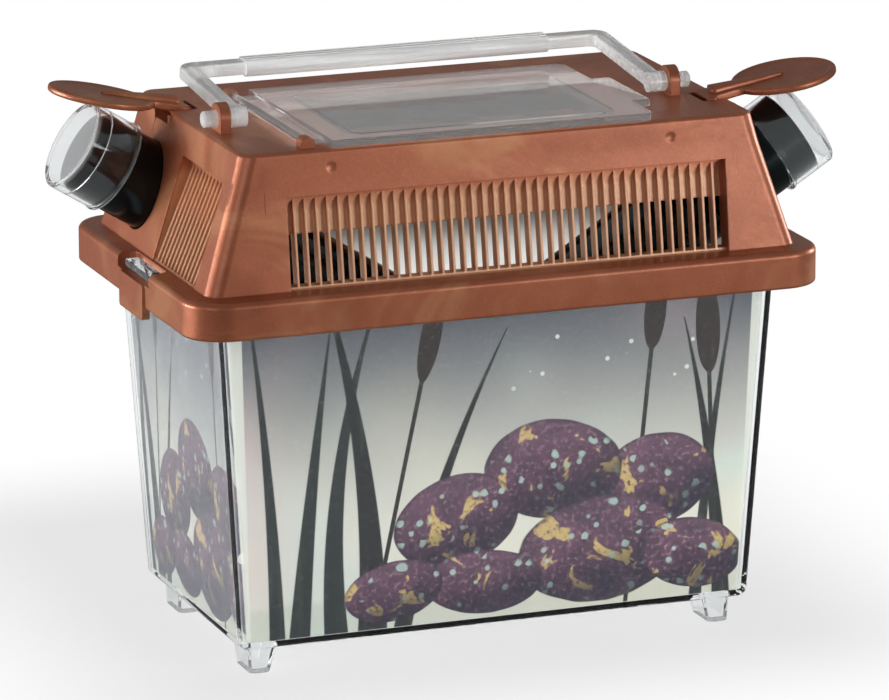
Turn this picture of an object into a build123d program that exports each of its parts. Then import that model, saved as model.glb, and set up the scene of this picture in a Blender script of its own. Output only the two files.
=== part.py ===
"""Small insect keeper box: a clear tank, a vented hood, two slide-in tubes with caps and flaps.

Frame: +Z up, X along the box, origin on the table under the middle of the tank.
The tube, cap, flap and pocket are modelled on the right-hand side. The left-hand ones are the
same shapes turned half a turn about Z, so the tubes pass each other side by side in the tank.
"""
from build123d import *
import math
import os

# ---- Driving dimensions (mm) ----

# tank
foot_height = 7.8
foot_length = 8.4
foot_width = 15.0
foot_outer_slope = 0.5
foot_inner_slope = 1.9
foot_inset_x = 3.7
foot_inset_y = 4.7
foot_wall = 1.1
foot_corner = 2.0
tank_base_length = 147.9
tank_base_width = 83.4
tank_mouth_length = 159.4
tank_mouth_width = 89.6
tank_wall_height = 89.9
tank_wall = 1.8
tank_floor = 2.0
tank_corner = 4.0
tank_bottom_round = 2.4
flange_drop = 1.4
flange_thickness = 1.8

# lid rim
lid_length = 181.0
lid_width = 110.7
lid_corner = 11.5
skirt_height = 10.4
skirt_wall = 2.2
shelf_thickness = 2.0
rim_top_round = 1.8
rim_bottom_round = 0.7

# hood
hood_base_length = 168.6
hood_base_width = 96.3
hood_shoulder_length = 150.5
hood_shoulder_width = 89.3
hood_top_length = 146.0
hood_top_width = 87.9
hood_slope_height = 28.6
hood_collar_height = 8.2
hood_corner = 4.3
hood_wall = 2.0
deck_thickness = 2.0
deck_edge_round = 1.2

# vents in the long walls and the ends
side_slot_count = 40
side_slot_pitch = 3.15
side_fin_thickness = 0.7
side_fin_height = 1.9
side_fin_setback_low = 2.0
side_fin_setback_high = 3.0
side_panel_height = 24.9
side_panel_offset = -1.5
end_slot_count = 13
end_slot_pitch = 2.75
end_fin_thickness = 0.95
end_fin_height = 1.2
end_fin_setback_low = 0.3
end_fin_setback_high = 3.3
end_panel_height = 28.2
end_panel_offset = 18.6
slot_height = 13.4
slot_sill = 0.6
scoop_height = 5.0
vent_floor = 1.2
gate_mark_radius = 1.6
gate_mark_depth = 0.35
gate_mark_spacing = 96.8

# feeding hatch
hatch_centre_x = -1.9
hatch_length = 92.2
hatch_width = 68.0
hatch_thickness = 2.0
hatch_corner = 3.5
hatch_front_gap = 0.0
hatch_gap = 0.2
hatch_rim_depth = 1.8
hatch_rim_wall = 1.2
hatch_rim_clearance = 0.6
opening_length = 77.4
opening_width = 52.8
opening_corner = 5.0
opening_back_margin = 8.8
opening_side_margin = 7.2
tab_length = 5.3
tab_width = 29.8
tab_offset = -2.7
hatch_flange_length = 5.9
hatch_flange_thickness = 1.2
hatch_barrel_radius = 1.3
hatch_pin_radius = 0.9
hatch_pin_length = 3.2
hatch_pin_end_gap = 0.3
hatch_post_width = 4.0
hatch_post_length = 3.8
hatch_post_height = 3.0
hatch_post_round = 1.6

# handle
handle_centre_x = -3.7
handle_pivot_y = -13.1
handle_pivot_height = 3.5
handle_reach = 42.1
handle_rest_angle = 5.5
handle_arm_width = 4.8
handle_arm_thickness = 3.6
handle_corner = 4.5
handle_edge_round = 0.7
handle_eye_radius = 2.8
grip_length = 88.5
grip_width = 7.8
grip_thickness = 4.8
grip_groove_radius = 0.45
grip_groove_pitch = 1.6
lug_inset = 6.8
lug_thickness = 3.0
lug_radius = 4.1
lug_top_height = 7.8
handle_pin_radius = 2.35
handle_pin_overhang = 3.9
arm_side_gap = 0.4

# tubes and caps
tube_tilt = 32.0
tube_offset_y = 20.7
tube_tip_out = 18.35
tube_tip_drop = 3.8
tube_radius = 11.9
tube_wall = 1.2
tube_length = 161.0
right_tube_pull = 0.0
left_tube_pull = 2.3
tube_hole_clearance = 0.35
guide_wall = 1.5
guide_length = 7.0
cap_wall = 0.9
cap_grip_length = 9.0
cap_plate = 1.2
cap_head_room = 4.0
cap_shoulder = 0.5
cap_end_round = 0.6
cap_lip = 0.35
cap_lip_length = 0.9

# flaps
flap_hinge_inset = 6.15
flap_hinge_drop = 2.0
flap_standoff = 0.9
flap_thickness = 2.0
flap_disc_radius = 14.5
flap_disc_reach = 23.1
flap_dish = 0.4
flap_rim_width = 1.4
flap_edge_round = 0.8
flap_arm_root_width = 10.3
flap_arm_tip_width = 7.3
flap_rib_root_height = 1.8
flap_rib_tip_height = 0.5
flap_rib_root_width = 5.6
flap_rib_tip_width = 1.4
flap_barrel_radius = 1.5
flap_pin_radius = 0.95
flap_pin_length = 1.3
flap_rest_gap = 1.0
pocket_side_gap = 0.5
pocket_wall = 1.7
pocket_swing_gap = 0.35

# end latches
latch_offset_y = -2.9
latch_width = 20.0
latch_hang = 3.2
latch_stand_out = 0.8
latch_thickness = 2.2
notch_width = 27.0
notch_depth = 3.8
notch_corner = 2.4
catch_width = 18.0
catch_height = 1.2
catch_nub = 0.3

# card sleeve
card_thickness = 0.6
card_height = 95.0

# clearances
lid_clearance = 0.6
pin_clearance = 0.06
fit_clearance = 0.05
card_clearance = 0.4
notch_clearance = 1.0

# ---- Levels and places worked out from the dimensions ----

skirt_z = foot_height + tank_wall_height
shelf_z = skirt_z + skirt_height
shelf_underside_z = shelf_z - shelf_thickness
shoulder_z = shelf_z + hood_slope_height
deck_z = shoulder_z + hood_collar_height
floor_z = foot_height + tank_floor
flange_z = skirt_z + flange_drop
flange_top_z = flange_z + flange_thickness
slot_bottom_z = shelf_z + slot_sill
slot_top_z = slot_bottom_z + slot_height
rim_outer_length = lid_length - 2 * skirt_wall - 2 * lid_clearance
rim_outer_width = lid_width - 2 * skirt_wall - 2 * lid_clearance
rim_outer_corner = lid_corner - skirt_wall - lid_clearance / 2
deck_front_y = -hood_top_width / 2
hatch_low_z = deck_z + hatch_gap
hatch_hinge_x = hatch_centre_x - hatch_length / 2 - hatch_flange_length
hatch_hinge_z = hatch_low_z + hatch_barrel_radius
handle_pivot_z = deck_z + handle_pivot_height
flap_hinge_x = hood_shoulder_length / 2 - flap_hinge_inset
flap_hinge_z = deck_z - flap_hinge_drop
tube_tip_x = hood_shoulder_length / 2 + tube_tip_out
tube_tip_z = shoulder_z - tube_tip_drop
lug_span = hood_top_length - 2 * lug_inset
cap_inner_radius = tube_radius + fit_clearance
cap_radius = cap_inner_radius + cap_wall
cap_length = cap_grip_length + cap_head_room + cap_plate
tube_tilt_cos = math.cos(math.radians(tube_tilt))
tube_tilt_sin = math.sin(math.radians(tube_tilt))
half_turn = Rot(0, 0, 180)


# ---- Small helpers ----

def rounded_section(length, width, corner, z):
    """A rounded rectangle lying flat at height z."""
    return Plane.XY.offset(z) * RectangleRounded(length, width, corner)


def stack(levels):
    """A solid with straight walls between (z, length, width, corner) levels."""
    return loft([rounded_section(l, w, c, z) for z, l, w, c in levels], ruled=True)


def between(low, high, share):
    """The value a given share of the way from low to high."""
    return low + (high - low) * share


def prism_along_y(outline, width, y=0.0):
    """An outline in the (x, z) plane carried a width along Y, centred on y."""
    return Pos(0, y, 0) * extrude(Plane.XZ * outline, amount=width / 2, both=True)


def prism_along_x(outline, width, x=0.0):
    """An outline in the (y, z) plane carried a width along X, centred on x."""
    return Pos(x, 0, 0) * extrude(Plane.YZ * outline, amount=width / 2, both=True)


def box_between(x, y, z):
    """A box from three (low, high) pairs."""
    corner = Box(x[1] - x[0], y[1] - y[0], z[1] - z[0], align=(Align.MIN, Align.MIN, Align.MIN))
    return Pos(x[0], y[0], z[0]) * corner


def rod_along(axis, radius, start, end):
    """A round rod along 'X' or 'Y' through (0, 0, 0), from start to end."""
    turn = Rot(0, 90, 0) if axis == "X" else Rot(-90, 0, 0)
    rod = Cylinder(radius, end - start, align=(Align.CENTER, Align.CENTER, Align.MIN))
    shift = Pos(start, 0, 0) if axis == "X" else Pos(0, start, 0)
    return shift * turn * rod


def tank_size(z):
    """Outer length and width of the tapering tank wall at height z."""
    share = (z - foot_height) / tank_wall_height
    length = between(tank_base_length, tank_mouth_length, share)
    width = between(tank_base_width, tank_mouth_width, share)
    return length, width


def hood_size(z):
    """Outer length and width of the hood at height z."""
    if z <= shoulder_z:
        share = (z - shelf_z) / hood_slope_height
        length = between(hood_base_length, hood_shoulder_length, share)
        width = between(hood_base_width, hood_shoulder_width, share)
        return length, width
    share = (z - shoulder_z) / hood_collar_height
    length = between(hood_shoulder_length, hood_top_length, share)
    width = between(hood_shoulder_width, hood_top_width, share)
    return length, width


def end_face_x(z):
    """How far out the sloping end face is at height z."""
    share = (z - shelf_z) / hood_slope_height
    return between(hood_base_length, hood_shoulder_length, share) / 2


def side_face_y(z):
    """How far out the sloping long wall is at height z."""
    share = (z - shelf_z) / hood_slope_height
    return between(hood_base_width, hood_shoulder_width, share) / 2


def tube_frame(distance=0.0):
    """Frame on the right tube's axis, a distance beyond its tip, with Z pointing out of the box."""
    origin = (
        tube_tip_x + distance * tube_tilt_cos,
        -tube_offset_y,
        tube_tip_z + distance * tube_tilt_sin,
    )
    return Plane(origin=origin, x_dir=(0, 1, 0), z_dir=(tube_tilt_cos, 0, tube_tilt_sin))


def tank_level(z, inset, corner):
    """A level for stack(), set in from the tank's outer wall."""
    length, width = tank_size(z)
    return (z, length - 2 * inset, width - 2 * inset, corner)


def hood_level(z, inset, corner):
    """A level for stack(), set in from the hood's outer wall."""
    length, width = hood_size(z)
    return (z, length - 2 * inset, width - 2 * inset, corner)


# ---- Tank ----

def foot_solid(inset, low_z, high_z):
    """One tapered foot under the +X +Y corner, grown or shrunk by an inset."""
    sections = []
    for z in (low_z, high_z):
        down = 1 - z / foot_height
        outer = foot_outer_slope * down
        shrink = outer + foot_inner_slope * down
        length = foot_length - 2 * inset - shrink
        width = foot_width - 2 * inset - shrink
        x = tank_base_length / 2 - foot_inset_x - outer - inset - length / 2
        y = tank_base_width / 2 - foot_inset_y - outer - inset - width / 2
        corner = max(foot_corner - inset, 0.4)
        sections.append(Plane.XY.offset(z) * Pos(x, y) * RectangleRounded(length, width, corner))
    return loft(sections, ruled=True)


def four_corners(solid):
    """The +X +Y solid and its mirror images in the other three corners."""
    across = mirror(solid, about=Plane.YZ)
    return [solid, across, mirror(solid, about=Plane.XZ), mirror(across, about=Plane.XZ)]


def end_catch():
    """The upstanding bar on the +X end of the tank that shows in the lid's notch."""
    outer_x = rim_outer_length / 2
    return box_between(
        (outer_x - tank_wall, outer_x + catch_nub),
        (-latch_offset_y - catch_width / 2, -latch_offset_y + catch_width / 2),
        (flange_top_z, shelf_underside_z + catch_height),
    )


def make_tank():
    body = stack([tank_level(foot_height, 0, tank_corner), tank_level(flange_z, 0, tank_corner)])
    body = fillet(body.edges().group_by(Axis.Z)[0], tank_bottom_round)
    flange = extrude(
        rounded_section(rim_outer_length, rim_outer_width, rim_outer_corner, flange_z),
        amount=flange_thickness,
    )
    upstand = extrude(
        rounded_section(rim_outer_length, rim_outer_width, rim_outer_corner, flange_top_z)
        - rounded_section(
            rim_outer_length - 2 * tank_wall,
            rim_outer_width - 2 * tank_wall,
            rim_outer_corner - tank_wall,
            flange_top_z,
        ),
        amount=shelf_underside_z - flange_top_z,
    )
    inner_corner = tank_corner - tank_wall
    hollow = stack([
        tank_level(floor_z, tank_wall, inner_corner),
        tank_level(flange_top_z, tank_wall, inner_corner),
    ])
    outer_feet = four_corners(foot_solid(0, 0, foot_height + tank_floor / 2))
    inner_feet = four_corners(foot_solid(foot_wall, foot_wall, floor_z + tank_floor))
    tank = body + flange + upstand + outer_feet
    tank = tank - hollow - inner_feet
    return tank + end_catch() + half_turn * end_catch()


def make_card_sleeve():
    top_z = floor_z + card_height
    outer = tank_wall + card_clearance
    inner = outer + card_thickness
    outer_corner = tank_corner - tank_wall
    inner_corner = outer_corner - card_thickness
    sleeve = stack([tank_level(floor_z, outer, outer_corner), tank_level(top_z, outer, outer_corner)])
    inside = stack([tank_level(floor_z, inner, inner_corner), tank_level(top_z, inner, inner_corner)])
    return sleeve - inside


# ---- Lid ----

def lid_shell():
    """Rim, shelf and hood as one thin shell, open underneath."""
    rim = extrude(rounded_section(lid_length, lid_width, lid_corner, skirt_z), amount=skirt_height)
    rim = fillet(rim.edges().group_by(Axis.Z)[-1], rim_top_round)
    rim = fillet(rim.edges().group_by(Axis.Z)[0], rim_bottom_round)
    rim_hollow = extrude(
        rounded_section(
            lid_length - 2 * skirt_wall,
            lid_width - 2 * skirt_wall,
            lid_corner - skirt_wall,
            skirt_z,
        ),
        amount=skirt_height - shelf_thickness,
    )
    hood = stack([
        hood_level(shelf_underside_z, 0, hood_corner),
        hood_level(shoulder_z, 0, hood_corner),
        hood_level(deck_z, 0, hood_corner),
    ])
    hood = fillet(hood.edges().group_by(Axis.Z)[-1], deck_edge_round)
    inner_corner = hood_corner - hood_wall
    hood_hollow = stack([
        hood_level(shelf_underside_z, hood_wall, inner_corner),
        hood_level(shoulder_z, hood_wall, inner_corner),
        hood_level(deck_z - deck_thickness, hood_wall, inner_corner),
    ])
    return (rim - rim_hollow) + hood - hood_hollow


class VentPanel:
    """A row of thin fins in a sloping wall, set back in a recess that scoops out to the wall at its top.

    Its outlines lie in the plane of (distance out, height). Between the fins is a floor, and the
    slots go through the floor's lower part.
    """

    def __init__(self, face_at, height, setback_low, setback_high, fin_height):
        self.face_at = face_at
        self.top_z = shelf_z + height
        self.scoop_z = self.top_z - scoop_height
        self.setback_low = setback_low
        self.setback_high = setback_high
        self.fin_height = fin_height
        self.outside = face_at(shelf_z) + 1

    def behind(self, z, depth=0.0):
        """Point at height z, a depth behind the front edges of the fins."""
        share = (z - shelf_z) / (self.top_z - shelf_z)
        setback = between(self.setback_low, self.setback_high, share)
        return (self.face_at(z) - setback - depth, z)

    def scooped(self, points):
        """A closed outline from points that end on the floor, below the scoop."""
        run = Polyline(*points, self.behind(self.scoop_z, self.fin_height))
        lip = (self.face_at(self.top_z), self.top_z)
        scoop = TangentArc(run @ 1, lip, tangent=run % 1)
        rest = Polyline(lip, (self.outside, self.top_z), points[0])
        return make_face(run + scoop + rest)

    def backing(self):
        """The wall's inner side, thick enough for the fins and the floor."""
        low, high = shelf_underside_z, shoulder_z
        back = self.fin_height + vent_floor
        corners = [
            self.behind(low, back),
            (self.face_at(low) - hood_wall / 2, low),
            (self.face_at(high) - hood_wall / 2, high),
            self.behind(high, back),
        ]
        return Polygon(*corners, align=None)

    def recess(self):
        """The space in front of the fins."""
        scoop = self.scooped([(self.outside, shelf_z), self.behind(shelf_z, self.fin_height)])
        corners = [
            (self.outside, shelf_z),
            self.behind(shelf_z),
            self.behind(self.top_z),
            (self.outside, self.top_z),
        ]
        return scoop & Polygon(*corners, align=None)

    def slot(self):
        """The gap between two fins, with the slot through the floor."""
        through = self.fin_height + vent_floor + 1
        return self.scooped([
            (self.outside, slot_bottom_z),
            self.behind(slot_bottom_z, through),
            self.behind(slot_top_z, through),
            self.behind(slot_top_z, self.fin_height),
        ])


side_panel = VentPanel(
    side_face_y, side_panel_height, side_fin_setback_low, side_fin_setback_high, side_fin_height
)
end_panel = VentPanel(
    end_face_x, end_panel_height, end_fin_setback_low, end_fin_setback_high, end_fin_height
)


def row_of_places(count, pitch, centre):
    """The middles of a row of equal steps."""
    return [centre + (i - (count - 1) / 2) * pitch for i in range(count)]


def side_panel_length():
    return side_slot_count * side_slot_pitch - side_fin_thickness


def end_panel_length():
    return end_slot_count * end_slot_pitch - end_fin_thickness


def side_vent_backing():
    """The thicker wall behind the fins of the +Y long wall."""
    return prism_along_x(side_panel.backing(), side_panel_length() + 2 * hood_wall, side_panel_offset)


def side_vent_cuts():
    """Panel recess and slots for the +Y long wall."""
    recess = prism_along_x(side_panel.recess(), side_panel_length(), side_panel_offset)
    slot = prism_along_x(side_panel.slot(), side_slot_pitch - side_fin_thickness)
    places = row_of_places(side_slot_count, side_slot_pitch, side_panel_offset)
    return [recess] + [Pos(x, 0, 0) * slot for x in places]


def end_vent_backing():
    """The thicker wall behind the fins of the +X end, on its +Y half."""
    return prism_along_y(end_panel.backing(), end_panel_length() + 2 * hood_wall, end_panel_offset)


def end_vent_cuts():
    """Panel recess and slots for the +X end, on its +Y half."""
    recess = prism_along_y(end_panel.recess(), end_panel_length(), end_panel_offset)
    slot = prism_along_y(end_panel.slot(), end_slot_pitch - end_fin_thickness)
    places = row_of_places(end_slot_count, end_slot_pitch, end_panel_offset)
    return [recess] + [Pos(0, y, 0) * slot for y in places]


def gate_marks():
    """Two shallow moulding dimples in the collar of the +Y side."""
    z = between(shoulder_z, deck_z, 0.45)
    y = hood_size(z)[1] / 2
    ball_radius = (gate_mark_radius ** 2 + gate_mark_depth ** 2) / (2 * gate_mark_depth)
    ball = Sphere(ball_radius)
    centre_y = y + ball_radius - gate_mark_depth
    return [Pos(side * gate_mark_spacing / 2, centre_y, z) * ball for side in (-1, 1)]


def tube_guide():
    """The short sleeve inside the hood that carries the right tube."""
    reach_in = (tube_tip_x - end_face_x(shoulder_z)) / tube_tilt_cos + guide_length
    sleeve = Cylinder(
        tube_radius + tube_hole_clearance + guide_wall,
        reach_in,
        align=(Align.CENTER, Align.CENTER, Align.MIN),
    )
    sleeve = tube_frame(-reach_in) * sleeve
    inside = stack([
        hood_level(shelf_underside_z, hood_wall / 2, hood_corner - hood_wall / 2),
        hood_level(shoulder_z, hood_wall / 2, hood_corner - hood_wall / 2),
        hood_level(deck_z - deck_thickness, hood_wall / 2, hood_corner - hood_wall / 2),
    ])
    return sleeve & inside


def tube_hole():
    """The bore for the right tube, through the guide and the end wall."""
    bore = Cylinder(tube_radius + tube_hole_clearance, 4 * guide_length + 30)
    return tube_frame(-20) * bore


def pocket_width():
    return flap_arm_root_width + 2 * pocket_side_gap


def pocket_inner_x():
    """Inner wall of the flap pocket, clear of the arm's corner as it swings."""
    swing = math.hypot(flap_barrel_radius, flap_standoff + flap_thickness)
    return flap_hinge_x - swing - pocket_swing_gap


def pocket_floor_z():
    return flap_hinge_z - flap_barrel_radius - pocket_swing_gap


def pocket_block():
    """Solid material that the right flap's pocket is cut into."""
    half = pocket_width() / 2 + pocket_wall
    return box_between(
        (pocket_inner_x() - pocket_wall, end_face_x(shoulder_z) - hood_wall / 2),
        (-tube_offset_y - half, -tube_offset_y + half),
        (pocket_floor_z() - pocket_wall, deck_z - deck_thickness / 2),
    )


def pocket_cuts():
    """The right flap's pocket, the relief down the collar and the two pin holes."""
    width = pocket_width()
    outside_x = hood_base_length / 2
    well_corners = [
        (pocket_inner_x(), pocket_floor_z()),
        (outside_x, pocket_floor_z()),
        (outside_x, deck_z + 1),
        (pocket_inner_x(), deck_z + 1),
    ]
    relief_corners = [
        (end_face_x(shoulder_z) - fit_clearance, shoulder_z),
        (outside_x, shoulder_z),
        (outside_x, deck_z + 1),
        (end_face_x(deck_z + 1) - fit_clearance, deck_z + 1),
    ]
    well = prism_along_y(Polygon(*well_corners, align=None), width, -tube_offset_y)
    relief = prism_along_y(Polygon(*relief_corners, align=None), width, -tube_offset_y)
    reach = width / 2 + flap_pin_length + pin_clearance
    holes = rod_along("Y", flap_pin_radius + pin_clearance, -reach, reach)
    return [well, relief, Pos(flap_hinge_x, -tube_offset_y, flap_hinge_z) * holes]


def latch_tongue():
    """The tongue that hangs from the rim on the +X end."""
    outer_x = lid_length / 2 + latch_stand_out
    inner_x = outer_x - latch_thickness
    tongue = box_between(
        (inner_x, outer_x),
        (-latch_offset_y - latch_width / 2, -latch_offset_y + latch_width / 2),
        (skirt_z - latch_hang, shelf_z - notch_depth),
    )
    return fillet(tongue.edges().filter_by(Axis.X), 1.0)


def latch_notch():
    """The rounded notch in the shelf over the tongue."""
    inner_x = rim_outer_length / 2 - tank_wall - notch_clearance
    outer_x = lid_length / 2 + latch_stand_out + 1
    length = outer_x - inner_x
    outline = Pos(inner_x + length / 2, -latch_offset_y) * Rectangle(length, notch_width)
    outline = fillet(outline.vertices().group_by(Axis.X)[0], notch_corner)
    return extrude(Plane.XY.offset(shelf_z - notch_depth) * outline, amount=notch_depth + 1)


def opening_centre():
    """Middle of the hatch opening in the deck."""
    plate_right = hatch_centre_x + hatch_length / 2
    x = plate_right - opening_side_margin - opening_length / 2
    y = deck_front_y + hatch_front_gap + hatch_width - opening_back_margin - opening_width / 2
    return x, y


def deck_opening():
    x, y = opening_centre()
    outline = Pos(x, y) * RectangleRounded(opening_length, opening_width, opening_corner)
    return extrude(Plane.XY.offset(deck_z - 2 * deck_thickness) * outline, amount=3 * deck_thickness)


def handle_lug(side):
    """An arched lug on the deck with a hole for one handle pin."""
    x = handle_centre_x + side * (lug_span - lug_thickness) / 2
    arch = Pos(0, lug_top_height - lug_radius) * Circle(lug_radius)
    leg = Rectangle(2 * lug_radius, lug_top_height - lug_radius + deck_thickness / 2)
    outline = arch + Pos(0, (lug_top_height - lug_radius - deck_thickness / 2) / 2) * leg
    outline = outline - Pos(0, handle_pivot_height) * Circle(handle_pin_radius + pin_clearance)
    lug = extrude(Plane.YZ * outline, amount=lug_thickness / 2, both=True)
    return Pos(x, handle_pivot_y, deck_z) * lug


def hatch_pin_starts():
    """Y of the two ends of the hatch's hinge barrel."""
    front = deck_front_y + hatch_front_gap + hatch_post_width + 2.5
    back = deck_front_y + hatch_front_gap + hatch_width - hatch_post_width - 0.5
    return front, back


def hatch_post(side):
    """A hinge post on the deck at one end of the hatch's barrel."""
    front, back = hatch_pin_starts()
    y = front - hatch_gap - hatch_post_width / 2 if side < 0 else back + hatch_gap + hatch_post_width / 2
    post = box_between(
        (-hatch_post_length / 2, hatch_post_length / 2),
        (-hatch_post_width / 2, hatch_post_width / 2),
        (deck_z - deck_thickness / 2, deck_z + hatch_post_height),
    )
    post = fillet(post.edges().group_by(Axis.Z)[-1].filter_by(Axis.Y), hatch_post_round)
    depth = hatch_pin_length + hatch_pin_end_gap - hatch_gap
    inner = -side * hatch_post_width / 2
    hole = rod_along("Y", hatch_pin_radius + pin_clearance, min(0, -side * depth), max(0, -side * depth))
    post = post - Pos(0, inner + side * depth, hatch_hinge_z) * hole
    return Pos(hatch_hinge_x, y, 0) * post


def make_lid():
    lid = lid_shell()
    backing = [side_vent_backing(), half_turn * side_vent_backing()]
    backing += [end_vent_backing(), half_turn * end_vent_backing()]
    backing += [tube_guide(), half_turn * tube_guide()]
    backing += [pocket_block(), half_turn * pocket_block()]
    backing += [latch_tongue(), half_turn * latch_tongue()]
    lid = lid + backing
    cuts = side_vent_cuts() + end_vent_cuts() + gate_marks() + pocket_cuts()
    cuts += [tube_hole(), latch_notch()]
    cuts += [half_turn * cut for cut in cuts]
    lid = lid - cuts - deck_opening()
    return lid + [handle_lug(-1), handle_lug(1), hatch_post(-1), hatch_post(1)]


# ---- Hatch ----

def make_hatch():
    low_y = deck_front_y + hatch_front_gap
    centre_y = low_y + hatch_width / 2
    plate = Pos(hatch_centre_x, centre_y) * Rectangle(hatch_length, hatch_width)
    plate = fillet(plate.vertices().group_by(Axis.X)[-1], hatch_corner)
    tab_x = hatch_centre_x + hatch_length / 2
    tab = Pos(tab_x, centre_y + tab_offset) * RectangleRounded(2 * tab_length, tab_width, 1.0)
    hatch = extrude(Plane.XY.offset(hatch_low_z) * (plate + tab), amount=hatch_thickness)
    hatch = chamfer(hatch.edges().group_by(Axis.Z)[-1], 0.3)
    front, back = hatch_pin_starts()
    left_x = hatch_centre_x - hatch_length / 2
    hatch += box_between(
        (hatch_hinge_x, left_x + 1),
        (front, back),
        (hatch_low_z, hatch_low_z + hatch_flange_thickness),
    )
    barrel = rod_along("Y", hatch_barrel_radius, front, back)
    pins = rod_along("Y", hatch_pin_radius, front - hatch_pin_length, back + hatch_pin_length)
    hatch += Pos(hatch_hinge_x, 0, hatch_hinge_z) * (barrel + pins)
    x, y = opening_centre()
    ring_length = opening_length - 2 * hatch_rim_clearance
    ring_width = opening_width - 2 * hatch_rim_clearance
    ring_corner = opening_corner - hatch_rim_clearance
    ring = RectangleRounded(ring_length, ring_width, ring_corner) - RectangleRounded(
        ring_length - 2 * hatch_rim_wall, ring_width - 2 * hatch_rim_wall, ring_corner - hatch_rim_wall
    )
    ring = extrude(Plane.XY.offset(hatch_low_z - hatch_rim_depth) * Pos(x, y) * ring, amount=hatch_rim_depth)
    return hatch + ring


# ---- Handle ----

def make_handle():
    """The bail, modelled flat along +Y from its pivot, then tipped to its resting angle."""
    lug_inner = lug_span / 2 - lug_thickness
    outer = lug_inner - arm_side_gap
    inner = outer - handle_arm_width
    bar_y = handle_reach + handle_arm_width / 2
    outline = Pos(0, bar_y / 2) * Rectangle(2 * outer, bar_y)
    outline = fillet(outline.vertices().group_by(Axis.Y)[-1], handle_corner)
    window_depth = bar_y - handle_arm_width
    window = Pos(0, window_depth / 2) * Rectangle(2 * inner, window_depth)
    window = fillet(window.vertices().group_by(Axis.Y)[-1], handle_corner / 3)
    bail = extrude(outline - window, amount=handle_arm_thickness / 2, both=True)
    bail = fillet(bail.edges().filter_by(Axis.Y), handle_edge_round)
    grip = SlotOverall(grip_width, grip_thickness)
    for row in (-2, -1, 0, 1, 2):
        for face in (-1, 1):
            height = face * grip_thickness / 2
            grip -= Pos(row * grip_groove_pitch, height) * Circle(grip_groove_radius)
    grip = extrude(Plane.YZ * grip, amount=grip_length / 2, both=True)
    bail += Pos(0, handle_reach, 0) * grip
    for side in (-1, 1):
        eye = rod_along("X", handle_eye_radius, inner, outer)
        overhang = lug_span / 2 + handle_pin_overhang
        pin = rod_along("X", handle_pin_radius, outer - 1, lug_span / 2)
        knob = extrude(Plane.YZ * RegularPolygon(handle_pin_radius, 8), amount=handle_pin_overhang)
        knob = chamfer(knob.edges().group_by(Axis.X)[-1], 0.5)
        end = eye + pin + Pos(overhang - handle_pin_overhang, 0, 0) * knob
        bail += end if side > 0 else mirror(end, about=Plane.YZ)
    place = Pos(handle_centre_x, handle_pivot_y, handle_pivot_z) * Rot(handle_rest_angle, 0, 0)
    return place * bail


# ---- Tubes and caps ----

def make_tube(pull):
    """A tube on the right-hand axis, pulled a little way out of the box."""
    ring = Circle(tube_radius) - Circle(tube_radius - tube_wall)
    return tube_frame(pull - tube_length) * extrude(ring, amount=tube_length)


def make_cap(pull):
    """A clear cup pushed over the tube until the tube's end meets the small inner shoulder."""
    lip = cap_radius + cap_lip
    head_radius = tube_radius - cap_shoulder
    plate_low = cap_length - cap_plate
    profile = Polyline(
        (0, plate_low),
        (head_radius, plate_low),
        (head_radius, cap_grip_length),
        (cap_inner_radius, cap_grip_length),
        (cap_inner_radius, 0),
        (lip, 0),
        (lip, cap_lip_length),
        (cap_radius, cap_lip_length + cap_lip),
        (cap_radius, cap_length - cap_end_round),
        (cap_radius - cap_end_round, cap_length),
        (0, cap_length),
        close=True,
    )
    cup = revolve(Plane.XZ * make_face(profile), axis=Axis.Z)
    return tube_frame(pull - cap_grip_length) * cup


# ---- Flaps ----

def flap_rest_angle(pull):
    """Angle at which the flap lies just over the outer edge of the cap."""
    edge_along = cap_length - cap_grip_length + pull
    edge_x = tube_tip_x + edge_along * tube_tilt_cos - cap_radius * tube_tilt_sin
    edge_z = tube_tip_z + edge_along * tube_tilt_sin + cap_radius * tube_tilt_cos
    across = edge_x - flap_hinge_x
    up = edge_z - flap_hinge_z
    lean = math.asin((flap_standoff - flap_rest_gap) / math.hypot(across, up))
    return math.degrees(math.atan2(up, across) - lean)


def rib_section(x, width, height, top):
    """An upright rectangle across the flap's rib, standing out of its top face."""
    plane = Plane(origin=(x, 0, top), x_dir=(0, 1, 0), z_dir=(1, 0, 0))
    return plane * Pos(0, (height - flap_thickness / 2) / 2) * Rectangle(width, height + flap_thickness / 2)


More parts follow.
